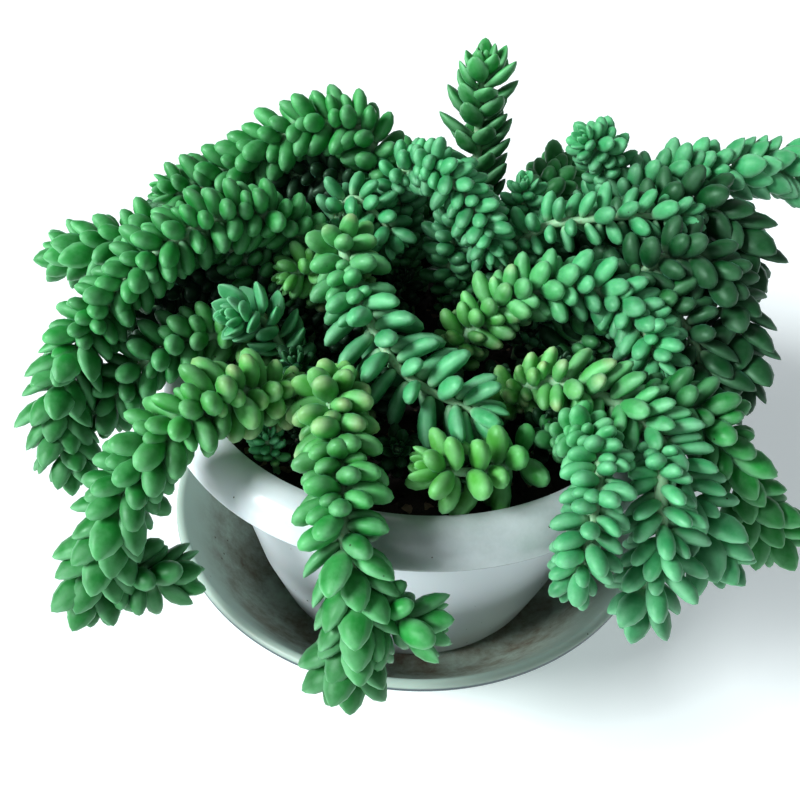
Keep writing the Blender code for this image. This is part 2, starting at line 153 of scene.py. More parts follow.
# How each stem's leaves look: the greens at its start and at its end, and the share of its length at the
# end where the leaves are broad. The points run from the soil outwards, in mm, as its solid's do; then come
# its side shoots' points. Entry: name, leaf length, (start green, end green), broad share, points, shoots.
STEMS = [
    ("stem_front", 15, ("lime", "fresh"), 0.35, [
        (-25, -35, 109), (-29, -44, 132), (-30, -56, 141), (-26, -80, 138), (-23, -104, 130),
        (-18, -117, 113), (-19, -123, 96), (-20, -124, 83)],
     [[(-19, -117, 113), (-8, -119, 107), (4, -118, 103)]]),
    ("stem_front_left", 15, ("lime", "fresh"), 0.3, [
        (-40, -32, 109), (-50, -46, 132), (-62, -60, 145), (-78, -74, 143), (-91, -82, 129),
        (-101, -89, 109), (-107, -94, 90), (-110, -97, 81)],
     [[(-104, -92, 98), (-93, -91, 88), (-82, -88, 84)]]),
    ("stem_left_low", 14, ("lime", "fresh"), 0.0, [
        (-48, -6, 109), (-63, -11, 128), (-79, -17, 136), (-97, -27, 133), (-111, -34, 121),
        (-116, -35, 110)], []),
    ("stem_left_far", 13, ("fresh", "fresh"), 0.2, [
        (-45, 12, 109), (-60, 14, 138), (-80, 14, 158), (-101, 12, 160), (-126, 15, 150),
        (-142, 19, 142)], []),
    ("stem_left_high", 14, ("fresh", "fresh"), 0.25, [
        (-35, 30, 109), (-45, 26, 145), (-62, 16, 168), (-85, 0, 170), (-103, -15, 160),
        (-116, -28, 149), (-124, -38, 136), (-128, -45, 122), (-126, -51, 107), (-125, -53, 100)], []),
    ("stem_crest", 15, ("fresh", "fresh"), 0.0, [
        (-24, 58, 109), (-20, 62, 150), (-27, 63, 179), (-47, 62, 183), (-63, 60, 174),
        (-79, 57, 163), (-95, 52, 156), (-106, 50, 157)], []),
    ("stem_centre_top", 12, ("fresh", "pale"), 0.0, [
        (-5, 40, 109), (-12, 50, 150), (-12, 50, 168), (-3, 45, 176), (6, 36, 179)], []),
    ("stem_centre_back", 12, ("fresh", "pale"), 0.0, [
        (16, 28, 109), (10, 34, 145), (14, 34, 164), (21, 29, 160), (26, 22, 155)], []),
    ("stem_centre_inner", 12, ("deep", "pale"), 0.0, [
        (-32, 42, 109), (-36, 42, 150), (-30, 40, 163), (-18, 33, 158), (-13, 28, 150)], []),
    ("stem_centre", 19, ("lime", "pale"), 0.0, [
        (-25, 8, 109), (-31, 12, 140), (-31, 8, 160), (-28, -5, 156), (-19, -22, 148),
        (-8, -38, 141), (5, -47, 138), (15, -52, 137), (21, -55, 135)], []),
    ("stem_rosette_left", 13, ("fresh", "pale"), 0.7, [
        (-44, -18, 109), (-52, -16, 130), (-60, -17, 145), (-67, -24, 151)], []),
    ("stem_arch_right", 14, ("lime", "pale"), 0.0, [
        (14, -8, 109), (16, -6, 132), (33, 0, 147), (52, 2, 152), (68, 0, 150), (79, -8, 144),
        (85, -17, 137), (87, -22, 133)], []),
    ("stem_right", 16, ("lime", "pale"), 0.2, [
        (30, -28, 109), (36, -32, 128), (44, -36, 137), (58, -42, 138), (73, -50, 136),
        (83, -60, 130), (92, -69, 116), (100, -75, 102), (106, -78, 92)],
     [[(80, -57, 132), (79, -76, 129), (80, -89, 112), (78, -93, 96), (76, -94, 87)]]),
    ("stem_right_front", 12, ("fresh", "pale"), 0.0, [
        (45, -43, 109), (52, -56, 130), (56, -68, 138), (57, -80, 137), (55, -92, 131),
        (52, -102, 119), (50, -104, 110)], []),
    ("stem_front_right", 16, ("fresh", "lime"), 0.0, [
        (32, -46, 109), (35, -57, 120), (24, -69, 125), (11, -77, 131), (3, -78, 134)], []),
    ("stem_right_side", 17, ("deep", "deep"), 0.3, [
        (55, 0, 109), (80, 14, 150), (99, 18, 158), (116, 12, 142), (122, 2, 126), (123, -6, 113)], []),
    ("stem_right_side_back", 17, ("deep", "deep"), 0.3, [
        (56, 14, 109), (80, 40, 151), (105, 47, 164), (123, 44, 151), (131, 38, 135)], []),
    ("stem_right_top", 14, ("deep", "pale"), 0.3, [
        (52, 36, 109), (76, 57, 150), (91, 63, 163), (116, 68, 167), (143, 75, 166),
        (160, 80, 161)], []),
    ("stem_upright", 15, ("deep", "fresh"), 1.0, [
        (18, 62, 109), (21, 76, 142), (20, 84, 172), (20, 88, 199)], []),
    ("stem_rosette_back", 12, ("pale", "pale"), 0.0, [
        (46, 50, 109), (54, 57, 126), (66, 65, 143), (76, 71, 158), (71, 68, 173), (61, 62, 182)], []),
    ("stem_right_pale", 12, ("pale", "pale"), 0.0, [
        (32, 28, 109), (36, 34, 146), (46, 32, 159), (60, 28, 165), (74, 30, 166), (89, 31, 166),
        (101, 31, 164)], []),
    ("stem_tuft_back", 11, ("pale", "pale"), 0.0, [
        (34, 50, 109), (40, 58, 140), (39, 57, 163)], []),
    ("stem_tuft_middle", 10, ("pale", "pale"), 0.0, [
        (42, 41, 109), (50, 44, 140), (48, 43, 155)], []),
    ("stem_tuft_inner", 10, ("pale", "pale"), 0.0, [
        (40, 8, 109), (48, 17, 128), (47, 19, 141)], []),
    ("stem_right_low", 15, ("deep", "fresh"), 0.4, [
        (55, -18, 109), (74, -34, 127), (95, -43, 131), (108, -47, 119), (119, -50, 101),
        (131, -52, 86), (137, -53, 79)], []),
    ("stem_back_left", 15, ("fresh", "fresh"), 0.2, [
        (-38, 54, 109), (-48, 72, 136), (-62, 98, 142), (-74, 114, 124), (-80, 122, 100),
        (-82, 125, 86)], []),
    ("stem_back", 15, ("fresh", "fresh"), 0.2, [
        (0, 60, 109), (-5, 78, 136), (-11, 106, 140), (-14, 122, 122), (-13, 128, 98),
        (-11, 130, 86)], []),
    ("stem_back_right", 15, ("deep", "fresh"), 0.2, [
        (34, 62, 109), (39, 69, 126), (50, 84, 140), (61, 106, 142), (67, 119, 122),
        (70, 126, 100), (72, 129, 88)], []),
    ("stem_right_back", 15, ("deep", "fresh"), 0.2, [
        (62, 28, 109), (68, 39, 128), (82, 54, 140), (102, 72, 144), (118, 86, 126),
        (125, 94, 102), (127, 97, 90)], []),
    ("stem_left_back", 15, ("fresh", "deep"), 0.2, [
        (-54, 26, 109), (-78, 42, 137), (-100, 62, 143), (-116, 76, 124), (-122, 82, 102),
        (-124, 85, 88)], []),
]

# Stems and shoots that have no solid of their own, in the same form
INNER_STEMS = [
    ("crown_rope", 12, ("pale", "pale"), 0.0, [
        (-4, 46, 172), (4, 37, 178), (13, 31, 172), (20, 25, 163), (25, 18, 153)], []),
    # The deep green ropes left_inner, left_under and crest_under are dark leaves in painted shade that fill
    # the crown's dark hollows
    ("left_inner", 12, ("deep", "deep"), 0.0, [
        (-38, 4, 109), (-52, 10, 130), (-68, 14, 140), (-84, 12, 142), (-98, 4, 139), (-108, -6, 133)], []),
    ("left_under", 12, ("deep", "deep"), 0.0, [
        (-50, 14, 109), (-66, 20, 126), (-84, 20, 130), (-100, 12, 126), (-110, 2, 118)], []),
    ("right_inner", 16, ("fresh", "deep"), 0.3, [
        (58, 2, 109), (70, 7, 139), (85, 7, 144), (98, -1, 139), (106, -10, 127), (111, -16, 111)], []),
    ("crest_under", 12, ("deep", "deep"), 0.0, [
        (-22, 44, 118), (-28, 52, 150), (-38, 58, 163), (-54, 58, 162), (-66, 55, 154)], []),
    ("lime_sprig", 11, ("lime", "lime"), 0.0, [
        (-36, 18, 118), (-41, 12, 142), (-46, 6, 151), (-52, 2, 150)], []),
    ("sprout", 7, ("lime", "pale"), 0.0, [
        (-50, -58, 108), (-51.5, -57, 117), (-53.5, -57, 125)], [])]
INNER_SHOOTS = 30
SHOOTS_REACH = 0.93             # how much of the soil's radius the shoots cover
SHOOT_HEIGHT, SHOOT_SPREAD = 16, 12    # how tall the shortest is, and how much taller the tallest, mm
# How much wider the leaves of some stems are spaced than the rest
SPARE = {
    "stem_centre": 1.35, "stem_centre_inner": 1.5, "stem_upright": 1.3, "stem_right_pale": 1.9,
    "stem_rosette_left": 1.6, "stem_front_right": 1.6, "stem_left_low": 1.2, "stem_right": 1.25,
    "stem_right_low": 1.2, "stem_right_front": 1.2, "stem_right_side": 1.2, "stem_right_side_back": 1.2,
    "right_inner": 1.2, "inner_shoots": 1.3}
# The share of a stem, from its start, along which bare places are filled. A stem that isn't named is filled
# but for FILL_FROM_BROAD of the share where its leaves are broad.
FILL_REACH = {
    "stem_centre": 0.65, "stem_right_pale": 0.0, "stem_front_right": 0.0, "stem_rosette_left": 0.0,
    "stem_centre_inner": 0.0, "sprout": 0.0, "inner_shoots": 0.0}
FILL_FROM_BROAD = 0.7
# Stems whose leaves are long and slim beyond this share of their length, and how much shorter they are before
LONG_FROM = {"stem_centre": 0.55, "stem_right": 0.3}
SHORT_BEFORE = 0.8
BROAD_LONGER = 1.18             # how much longer broad leaves are
BROAD_LEAN = 0.78               # and the share of the lean that they keep

# Leaf forms: the outline from root to tip as (share of the half width, share of the length); the width, the
# depth and how far the tip bends up, as shares of the length; how much flatter the upper side is; and how
# pale the margin is painted, a painted rim light for sheen and light through the thin edge, which keeps the
# closer to the edge, the higher EDGE_POWER is.
LEAF_SIDES = 10
EDGE_POWER = 6
LEAF_FORMS = {
    "plump": {
        "outline": [
            (0, 0), (0.42, 0.05), (0.7, 0.17), (0.94, 0.38), (1.0, 0.58), (0.86, 0.79), (0.48, 0.94), (0, 1)],
        "width": 0.56, "depth": 0.5, "upper": 0.8, "curl": 0.08, "edge": 0.25},
    "long": {
        "outline": [
            (0, 0), (0.46, 0.05), (0.72, 0.17), (0.92, 0.38), (1.0, 0.6), (0.88, 0.8), (0.5, 0.94), (0, 1)],
        "width": 0.44, "depth": 0.4, "upper": 0.75, "curl": 0.14, "edge": 0.4},
    "broad": {
        "outline": [
            (0, 0), (0.34, 0.05), (0.64, 0.18), (0.94, 0.38), (1.0, 0.56), (0.76, 0.78), (0.32, 0.94),
            (0, 1)],
        "width": 0.62, "depth": 0.38, "upper": 0.45, "curl": 0.10, "edge": 0.5},
    "bud": {
        "outline": [
            (0, 0), (0.6, 0.06), (0.86, 0.18), (1.0, 0.4), (0.97, 0.6), (0.75, 0.8), (0.4, 0.94), (0, 1)],
        "width": 0.56, "depth": 0.42, "upper": 0.6, "curl": 0.16, "edge": 0.4}}
# Spheres that stand for a leaf when room is sought for it: place along it and radius, and how far they sit
# towards its upper side, all as shares of its length
LEAF_SPHERES = [(0.3, 0.16), (0.55, 0.23), (0.8, 0.17)]
SPHERES_UP = 0.02

# Stems, in mm and degrees
STEM_RADIUS = 2.6
STEM_TIP_RADIUS = 1.1
STEM_TAPER = 1.6                # a higher power keeps a stem thick for longer
THICK_LEAF = 14.0               # stems with shorter leaves than this are thinner
BEAD = 3.0                      # how far apart a stem's rings are, and the spheres that stand for it
WELD = 0.02                     # points of a stem's tube closer than this are one
STEM_FOOT = 8.0                 # how far a stem stands in the soil
NEAR_SOIL = 2.0                 # a stem that starts higher than this over the soil doesn't stand in it
BARE_FOOT = 13.0                # how much of a stem and of a side shoot carries no leaf
BARE_FORK = 5.0
GOLDEN_TURN = 137.5
TIP_LEAVES = 16
TIP_LENGTH = 11.0               # how much of a stem with leaves of FULL_LEAF is its tip
FULL_LEAF = 15.0
TIP_MOST = 0.6                  # the tip takes up no more of a stem than this
TIP_SIZE = 0.3                  # the size and the lean of the last leaf at the tip
TIP_LEAN = 6.0
TIP_CLOSING = 1.5               # powers: how leaves close up, shrink and straighten towards the tip
TIP_SHRINKING = 1.6
TIP_STRAIGHTENING = 1.3
YOUNG_SIZE = 0.55               # the size of the first leaf, and how fast the next ones grow
YOUNG_GROWTH = 2.25
ROOT_REACH = 1.2                # how far from the stem's middle a leaf starts

# How far leaves differ by chance: turn in degrees, and shares of lean, length, size of a fill, and tone
TURN_JITTER = 12
LEAN_JITTER = (0.8, 1.14)
LENGTH_JITTER = (0.82, 1.08)
FILL_SIZES = (0.75, 1.0)
TONE_JITTER = (0.84, 1.16)
GREEN_FROM, GREEN_OVER = 0.2, 0.4     # where the end's green begins along a stem, and over how much of it
BLUSH_MOST, BLUSH_UNTIL = 0.3, 0.4    # how strong the blush of lime leaves is, and how far it goes
BUD_BELOW = 0.75                # leaves smaller than this in a stem's second half are buds

# Room, in shares of the leaf's length
GIVE = 0.09                     # a leaf that would press further than this is left out
CROWD = 0.2                     # how far leaves of neighbouring stems may press into each other
OWN_CROWD = 0.28                # the same within one stem
FILL_CROWD = 0.15               # the same two for a leaf that fills a bare place
FILL_OWN_CROWD = 0.10
FILL_TRIES = 1.8                # tries at such a leaf for each leaf of the spiral
FILL_MARGINS = (3.0, 8.0)       # how far before the first leaf they begin, and before the reach they end, mm
NEAR = 6.0                      # how far past its tip a leaf looks for what it keeps clear of, mm
# Painted shade: a leaf's colour is darkened by how much of the sky above it other leaves and stems hide
COVER_RISE = 8.0                # leaves this far above a leaf shade it, mm,
COVER_FOOT = 6.0                # within a cone this wide at its foot, mm,
COVER_SPREAD = 0.4              # and wider by this for each mm up
PAINTED_COVER_SHADE = 0.5                # how much darker full cover makes a leaf
PAINTED_INSIDE_SHADE = 0.85              # the same for the deep green leaves inside the crown
SKIN = 5.0                      # how deep a point inside the pot, the saucer or the soil is looked for, mm
AXIS = 1.0                      # where a turned profile leaves its axis and comes back to it, mm
SOIL_RINGS, SOIL_SEGMENTS = 46, 160
CRUMBS_CLEAR = 2.5              # the crumbs keep this far from the pot's wall, mm

# How a leaf gives way: share of its lean, share of its length, turn round the stem in degrees.
WAYS_CLEAR = [
    (1.0, 1.0, 0), (0.85, 1.0, 0), (1.0, 1.0, 14), (1.0, 1.0, -14), (0.7, 0.95, 0), (0.75, 0.9, 25),
    (0.75, 0.9, -25), (1.0, 0.8, 0), (0.6, 0.8, 20), (0.6, 0.8, -20), (0.9, 0.65, 0), (0.45, 0.7, 0),
    (0.8, 0.5, 0)]

# Studio: what the camera looks at, in mm; each light's name, kind, place in m, angle or size, power, colour
CAMERA_TARGET = (-7.6, 0.0, 94.1)
LIGHTS = [
    ("window", "SUN", (-0.95, -0.42, 0.8), math.radians(24), 5.2, (0.93, 0.98, 1.0)),
    ("room_fill", "AREA", (-0.45, -1.1, 0.42), 1.1, 2.8, (0.88, 0.96, 1.0)),
    ("back_glow", "AREA", (0.3, 1.0, 0.9), 1.0, 2.0, (0.95, 1.0, 1.0))]


def set_inputs(node, inputs):
    """Give each named input of a node a value, or a link from a socket or a node's first output in use."""
    for name, value in inputs.items():
        if isinstance(value, bpy.types.Node):
            value = next(socket for socket in value.outputs if socket.enabled)
        if isinstance(value, bpy.types.NodeSocket):
            node.id_data.links.new(value, node.inputs[name])
        else:
            node.inputs[name].default_value = value


class Surface:
    """A new material and what its nodes are made with. Sizes are in mm, and places are the piece's own."""

    def __init__(self, name):
        self.material = bpy.data.materials.new(name)
        self.material.use_nodes = True
        self.place = self.add("TexCoord").outputs["Object"]

    def add(self, kind, inputs=None, **settings):
        """Add a shader node, with its properties as settings and its sockets as inputs."""
        node = self.material.node_tree.nodes.new("ShaderNode" + kind)
        for name, value in settings.items():
            setattr(node, name, value)
        set_inputs(node, inputs or {})
        return node

    def math(self, operation, *values):
        """A sum or a test done with values, such as MULTIPLY or LESS_THAN."""
        return self.add("Math", dict(enumerate(values)), operation=operation)

    def ramp(self, value, start, stop, low=0.0, high=1.0, smooth=False):
        """What goes from low to high while a value goes from start to stop."""
        inputs = {"Value": value, "From Min": start, "From Max": stop, "To Min": low, "To Max": high}
        return self.add("MapRange", inputs, interpolation_type="SMOOTHSTEP" if smooth else "LINEAR")

    def noise(self, size, **inputs):
        """Clouds about this wide."""
        return self.add("TexNoise", {"Vector": self.place, "Scale": 1 / (size * MM), **inputs})

    def cells(self, size):
        """Cells this far apart: how far their middles are, and for each a colour by chance."""
        return self.add("TexVoronoi", {"Vector": self.place, "Scale": 1 / (size * MM)})

    def channels(self, colour):
        """A colour's red, green and blue."""
        return self.add("SeparateColor", {"Color": colour}).outputs

    def coats(self, base, *layers):
        """Colours laid over each other: each layer is how much of it covers what is below, and its colour."""
        for share, colour in layers:
            base = self.blend("MIX", share, base, (*colour, 1.0))
        return base

    def blend(self, kind, share, below, above):
        """Two colours blended. A Mix node's colour sockets go by number."""
        return self.add("Mix", {0: share, 6: below, 7: above}, data_type="RGBA", blend_type=kind)

    def bump(self, height, strength, depth):
        """A relief this deep."""
        return self.add("Bump", {"Height": height, "Strength": strength, "Distance": depth * MM})

    def finish(self, inputs):
        """Give the shader its inputs and hand over the material."""
        set_inputs(self.material.node_tree.nodes["Principled BSDF"], inputs)
        return self.material


def leaf_skin(settings):
    """Succulent leaf skin: smooth, fleshy and a little see-through, under a powdery wax bloom.

    The eye sees a soft highlight, light glowing through the flesh, pale powder in drifts, a paler root and
    tip, and a scatter of dark pin-pricks.
    """
    surface = Surface("waxy succulent leaf")
    tint = surface.add("Attribute", attribute_name="leaf_tint")
    along, edge = [surface.add("Attribute", attribute_name=name).outputs["Fac"]
                   for name in ("leaf_along", "leaf_rim_light")]
    # Flesh: drifts of lighter and darker green
    lightness = surface.ramp(surface.noise(6, Detail=3.0), 0.3, 0.7, low=0.8, high=1.12)
    flesh = surface.blend("MULTIPLY", 1.0, tint, lightness)
    # The flesh pales at the root, where it meets the stem. The tint's alpha gives each leaf its warm blush
    # at the tip
    root = surface.ramp(along, 0.0, 0.3, low=0.7, high=0.0, smooth=True)
    tip = surface.ramp(along, 0.72, 1.0, smooth=True)
    blush = surface.math("MULTIPLY", tip, tint.outputs["Alpha"])
    blushed = surface.coats(flesh, (root, settings.bark), (blush, linear("#C9B48A")))
    # Bloom: powder in soft drifts, rubbed off elsewhere. The tip is paler, and the margin is a painted rim
    # light that stands in for sheen and for light through the thin edge
    powder = surface.noise(7, Detail=4.0, Roughness=0.55)
    drifts = surface.ramp(powder, 0.35, 0.75, high=0.2, smooth=True)
    powder_and_rim_light = surface.math("MULTIPLY_ADD", edge, 0.7, drifts)
    pale = surface.math("MULTIPLY_ADD", tip, 0.18, powder_and_rim_light)
    thin = surface.blend("OVERLAY", pale, blushed, (1.0, 1.0, 1.0, 1.0))
    # Leaves darkened with painted shade carry little powder, so that they stay dark
    powder_in_painted_shade = surface.ramp(surface.channels(tint)["Green"], 0.02, 0.2, low=0.1, high=0.6)
    thick = surface.math("MULTIPLY", pale, powder_in_painted_shade)
    # Pin-pricks: dark spots 0.5 to 1 mm wide in one cell of ten
    cells = surface.cells(5)
    chance = surface.channels(cells.outputs["Color"])
    spot = surface.ramp(cells, 0.05, 0.10, low=1.0, high=0.0)
    pricked = surface.math("MULTIPLY", spot, surface.math("GREATER_THAN", chance["Red"], 0.9))
    colour = surface.coats(thin, (thick, settings.bloom), (pricked, linear("#1E2A18")))
    # Powder is rougher than rubbed skin
    roughness = surface.ramp(powder, 0.35, 0.7, low=0.4, high=0.6)
    grain = surface.bump(surface.noise(0.9), strength=0.12, depth=0.2)
    return surface.finish({
        "Base Color": colour, "Normal": grain, "Roughness": roughness, "IOR": 1.5,
        "Subsurface Weight": 0.12, "Subsurface Radius": (0.5, 1.0, 0.25), "Subsurface Scale": 2.2 * MM,
        "Specular IOR Level": 0.4, "Specular Tint": (0.6, 0.95, 0.7, 1.0),
        "Sheen Weight": 0.15, "Sheen Roughness": 0.35, "Sheen Tint": (*linear("#7FD8B4"), 1.0)})


def stem_skin(settings):
    """Fleshy stem skin: pale and matt, with the scars of fallen leaves as darker spots."""
    surface = Surface("fleshy stem")
    scars = surface.cells(2.2)
    scar = surface.ramp(scars, 0.1, 0.35, low=0.45, high=0.0)
    colour = surface.coats((*settings.bark, 1.0), (scar, linear("#7B8B5E")))
    return surface.finish({
        "Base Color": colour, "Normal": surface.bump(scars, strength=0.5, depth=0.4), "Roughness": 0.6,
        "Subsurface Weight": 0.1, "Subsurface Scale": 1.0 * MM})


def moulded_plastic(name, settings, plastic, roughness, dirt_top, dirt_most, lip, turn, side_shade_most):
    """Injection-moulded white polypropylene: bright and smooth, with dried soil low inside and fly specks.

    dirt_top is the height that the dried soil reaches, in mm, and dirt_most how thickly it lies. Above the
    height lip, a dark line of painted shadow lies where the surface turns under more steeply than the slope
    turn. side_shade_most is how strongly painted shade, grey-green as from the leaves' light, lies above lip
    on the side away from the window.
    """
    surface = Surface(name)
    beside = surface.add("SeparateXYZ", {"Vector": surface.place}).outputs
    normal = surface.add("NewGeometry").outputs["Normal"]
    slope = surface.add("SeparateXYZ", {"Vector": normal}).outputs["Z"]
    # Ageing: wide clouds of a darker white
    cloud = surface.noise(60)
    # Dried soil: a film in soft patches that thins out from a third of the way up
    stain = surface.noise(18, Detail=8.0, Roughness=0.7)
    patches = surface.ramp(stain, 0.35, 0.65, low=0.2)
    low = surface.ramp(
        beside["Z"], dirt_top * 0.35 * MM, dirt_top * MM, low=dirt_most, high=0.0, smooth=True)
    lying = surface.math("MULTIPLY", low, surface.ramp(slope, 0.1, 0.5))
    dirty = surface.math("MULTIPLY", patches, lying)
    # Painted shade on the edge, on the side away from the window: thin and grey-green as from the leaves'
    # light, thicker where the soil's patches are
    edge = surface.math("GREATER_THAN", beside["Z"], lip * MM)
    away = surface.ramp(beside["X"], -65 * MM, -15 * MM, high=side_shade_most, smooth=True)
    patched = surface.math("MULTIPLY", away, surface.math("MULTIPLY_ADD", patches, 0.45, 0.55))
    painted_side_shade = surface.math("MULTIPLY", patched, edge)
    # Painted shadow: a dark line where the edge turns under
    painted_shadow_line = surface.math("MULTIPLY", surface.ramp(slope, turn, turn - 0.3, high=0.95), edge)
    # Specks: soil grains 0.3 to 1 mm wide, in four cells of ten
    cells = surface.cells(5)
    chance = surface.channels(cells.outputs["Color"])
    size = surface.ramp(chance["Green"], 0.0, 1.0, low=0.03, high=0.11)
    spot = surface.math("LESS_THAN", cells, size)
    speck = surface.math("MULTIPLY", spot, surface.math("GREATER_THAN", chance["Red"], 0.62))
    colour = surface.coats(
        (*plastic, 1.0), (cloud, [0.86 * value for value in plastic]), (dirty, settings.dirt),
        (painted_side_shade, linear("#586E64")), (painted_shadow_line, linear("#2B3A46")), (speck, linear("#4A4136")))
    ripple = surface.bump(surface.noise(9, Detail=1.0), strength=0.08, depth=0.3)
    dulled = surface.ramp(dirty, 0.0, 1.0, low=roughness, high=0.8)
    return surface.finish({
        "Base Color": colour, "Normal": ripple, "Roughness": dulled, "IOR": 1.49, "Subsurface Weight": 0.08,
        "Subsurface Scale": 1.5 * MM})


def potting_soil(settings):
    """Damp potting mix: nearly black crumbs with lighter fibre and grit between them."""
    surface = Surface("damp potting mix")
    clod = surface.noise(4, Detail=6.0, Roughness=0.7)
    dry = surface.ramp(clod, 0.35, 0.7)
    # Grit: one light grain in fourteen
    chance = surface.channels(surface.cells(2.5).outputs["Color"])
    light = surface.math("GREATER_THAN", chance["Blue"], 0.93)
    colour = surface.coats((*linear("#120D09"), 1.0), (dry, settings.earth), (light, linear("#6F5E4A")))
    return surface.finish({
        "Base Color": colour, "Normal": surface.bump(clod, strength=0.9, depth=1.0), "Roughness": 0.9})


def painted_floor(settings):
    """A matt white studio floor with a faint cloudiness. A little light comes up, as from a light table."""
    surface = Surface("matt white floor")
    cloudy = [0.97 * value for value in settings.floor]
    colour = surface.coats((*settings.floor, 1.0), (surface.noise(200), cloudy))
    return surface.finish({
        "Base Color": colour, "Roughness": 0.7, "Emission Color": (0.86, 0.95, 1.0, 1.0),
        "Emission Strength": 0.3})


def arc(centre, radii, start, stop, count):
    """Points on an ellipse's arc, from the angle start to the angle stop, in degrees."""
    angles = [math.radians(start + (stop - start) * index / (count - 1)) for index in range(count)]
    return [(centre[0] + radii[0] * math.cos(angle), centre[1] + radii[1] * math.sin(angle))
            for angle in angles]


def choose(*pieces):
    """Leave edit mode and select these pieces alone, the first of them active, for operators to act on."""
    if bpy.context.mode != "OBJECT":
        bpy.ops.object.mode_set(mode="OBJECT")
    bpy.ops.object.select_all(action="DESELECT")
    for piece in pieces:
        piece.select_set(True)
    if pieces:
        bpy.context.view_layer.objects.active = pieces[0]


def dress(piece, material):
    """Give a piece its one material."""
    piece.data.materials.clear()
    piece.data.materials.append(material)


def select_points(piece, chosen):
    """In edit mode, select the points for which chosen(point) is true."""
    shape = bmesh.from_edit_mesh(piece.data)
    for vert in shape.verts:
        vert.select = chosen(vert)
    shape.select_flush_mode()
    bmesh.update_edit_mesh(piece.data)


def finish_piece(piece, node, material, smooth_angle):
    """Give a piece its finish and its place in the frame."""
    choose(piece)
    bpy.ops.object.transform_apply(location=True, rotation=True, scale=True)
    bpy.ops.object.shade_smooth_by_angle(angle=math.radians(smooth_angle))
    dress(piece, material)
    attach(piece, BODY)
    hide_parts(node)


def turned(name, profile, segments):
    """A closed turned piece: a ring is extruded, moved and scaled along its profile of (radius, height), mm.

    The profile runs out from near the axis and ends near it, and both ends are merged to the axis.
    """
    choose()
    first_radius, first_height = profile[0]
    bpy.ops.mesh.primitive_circle_add(vertices=segments, radius=first_radius * MM,
                                      location=(0.0, 0.0, first_height * MM))
    piece = bpy.context.object
    piece.name = piece.data.name = name
    bpy.ops.object.transform_apply(location=True)
    bpy.ops.object.mode_set(mode="EDIT")
    bpy.ops.mesh.select_all(action="SELECT")
    for (radius, height), (next_radius, next_height) in zip(profile, profile[1:]):
        growth = next_radius / radius
        bpy.ops.mesh.extrude_edges_move(
            TRANSFORM_OT_translate={"value": (0.0, 0.0, (next_height - height) * MM)})
        bpy.ops.transform.resize(value=(growth, growth, 1.0), center_override=(0.0, 0.0, 0.0))
    bpy.ops.mesh.merge(type="CENTER")
    select_points(piece, lambda vert: vert.is_boundary)
    bpy.ops.mesh.merge(type="CENTER")
    bpy.ops.mesh.select_all(action="SELECT")
    bpy.ops.mesh.normals_make_consistent(inside=False)
    bpy.ops.object.mode_set(mode="OBJECT")
    return piece


class BURRO_OT_make_saucer(bpy.types.Operator):
    """Make the deep flared saucer with its rolled lip"""
    bl_idname = "burro.make_saucer"
    bl_label = "Saucer"

    def execute(self, context):
        settings = context.scene.burro_pot
        lip_radius, top = SAUCER_HIGH.x, SAUCER_HIGH.z
        # Radius of the rolled lip, height of the floor's top side and the recess under the foot, mm
        roll, floor, foot = 2.2, 4.0, 0.9
        inside = [(AXIS, floor), (30.0, floor), (60.0, floor)] + arc((60.5, 14.0), (14.0, 10.0), -80, -45, 5)
        inside += [(78.2, 15.2), (86.0, 25.0), (92.5, 35.0)]
        lip = arc((lip_radius - roll, top - roll), (roll, roll), 150, -30, 9)
        outside = [(94.4, 33.6), (88.5, 23.5), (80.6, 13.8)] + arc((62.0, 12.5), (15.5, 12.5), -45, -88, 6)
        under = [(60.0, 0.0), (57.5, 0.5), (56.5, foot), (30.0, foot), (AXIS, foot)]
        saucer = turned("deep_saucer", inside + lip + outside + under, settings.segments)
        # The saucer's lip carries a painted shadow line on its outer side, and no painted side shade
        skin = moulded_plastic("moulded polypropylene, satin", settings, settings.saucer, roughness=0.42,
                               dirt_top=46.0, dirt_most=0.9, lip=40.0, turn=0.45, side_shade_most=0.0)
        finish_piece(saucer, "saucer", skin, smooth_angle=40)
        return {"FINISHED"}


class BURRO_OT_make_pot(bpy.types.Operator):
    """Make the pot with its broad overhanging rim"""
    bl_idname = "burro.make_pot"
    bl_label = "Pot"

    def execute(self, context):
        settings = context.scene.burro_pot
        wall = settings.wall / MM
        rim_radius, top, base = POT_HIGH.x, POT_HIGH.z, POT_LOW.z
        # The rim's width and height, the radius of its lower edge and the recess under the base, mm
        rim_width, rim_drop, edge, recess = 11.0, 12.0, 1.1, 0.6
        rim_middle = (rim_radius - rim_width, top - rim_drop)
        body = [(58.0, base), (60.3, base + 1.2), (61.8, base + 4.0), (69.0, 30.0), (76.5, 64.0),
                (84.0, 100.0), (86.2, 110.0)]
        inside = [(AXIS, base + wall), (54.0, base + wall), (57.5, base + wall + 1.5)]
        inside += [(radius - wall, height) for radius, height in body[3:]] + [(86.6, 116.0)]
        over = arc(rim_middle, (rim_width, rim_drop), 104, 4, 17)
        lip = arc((rim_radius - edge, rim_middle[1] + 0.2), (edge, edge), 0, -180, 9)
        under = arc(rim_middle, (rim_width - 2.3, rim_drop - 2.4), 10, 84, 7)
        outside = body[::-1] + [(55.0, base + recess), (AXIS, base + recess)]
        pot = turned("round_pot", inside + over + lip + under + outside, settings.segments)
        # The pot's rim carries a painted shadow line under its edge, and painted shade on the side away from
        # the window
        skin = moulded_plastic("moulded polypropylene, glossy", settings, settings.plastic, roughness=0.22,
                               dirt_top=60.0, dirt_most=0.25, lip=106.0, turn=-0.2, side_shade_most=0.5)
        finish_piece(pot, "pot", skin, smooth_angle=40)
        return {"FINISHED"}


